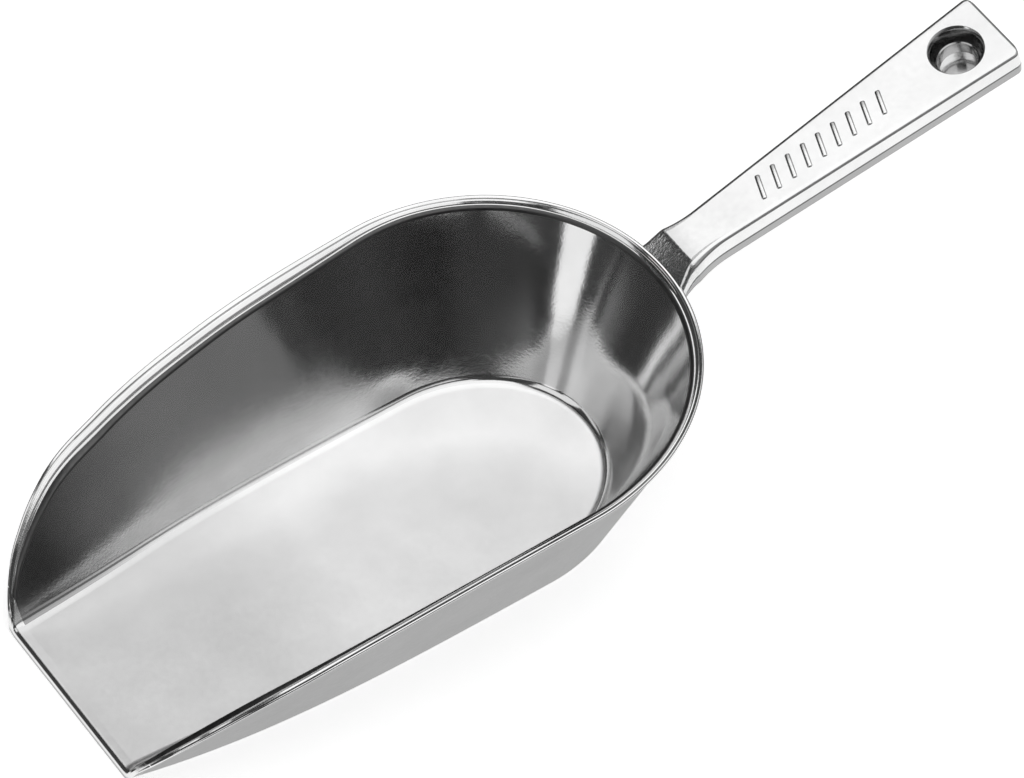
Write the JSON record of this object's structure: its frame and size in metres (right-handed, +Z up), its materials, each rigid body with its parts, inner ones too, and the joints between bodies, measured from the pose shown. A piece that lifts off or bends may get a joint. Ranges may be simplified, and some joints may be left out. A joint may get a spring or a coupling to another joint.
{
  "type": "ice scoop",
  "caption": "Cast aluminium scoop: flat-floored U-shaped bowl with an open bevelled mouth, a sloping rim bead and a flared flat handle with a hanging hole.",
  "frame": {"origin": "on the flat underside, at the middle of the overall length and width", "axes": "+X from the mouth towards the end of the handle, +Y to the left of the user, +Z up"},
  "size_m": [0.262, 0.1028, 0.0709],
  "materials": {
    "polished_casting": "polished",
    "satin_casting": "satin"
  },
  "bodies": {
    "root": {"bowl_floor": "satin_casting", "bowl_wall": "polished_casting", "rim_bead": "polished_casting", "front_lip": "polished_casting", "handle_neck": "polished_casting", "handle_bar": "polished_casting", "grip_marks": "polished_casting"}
  },
  "joints": []
}
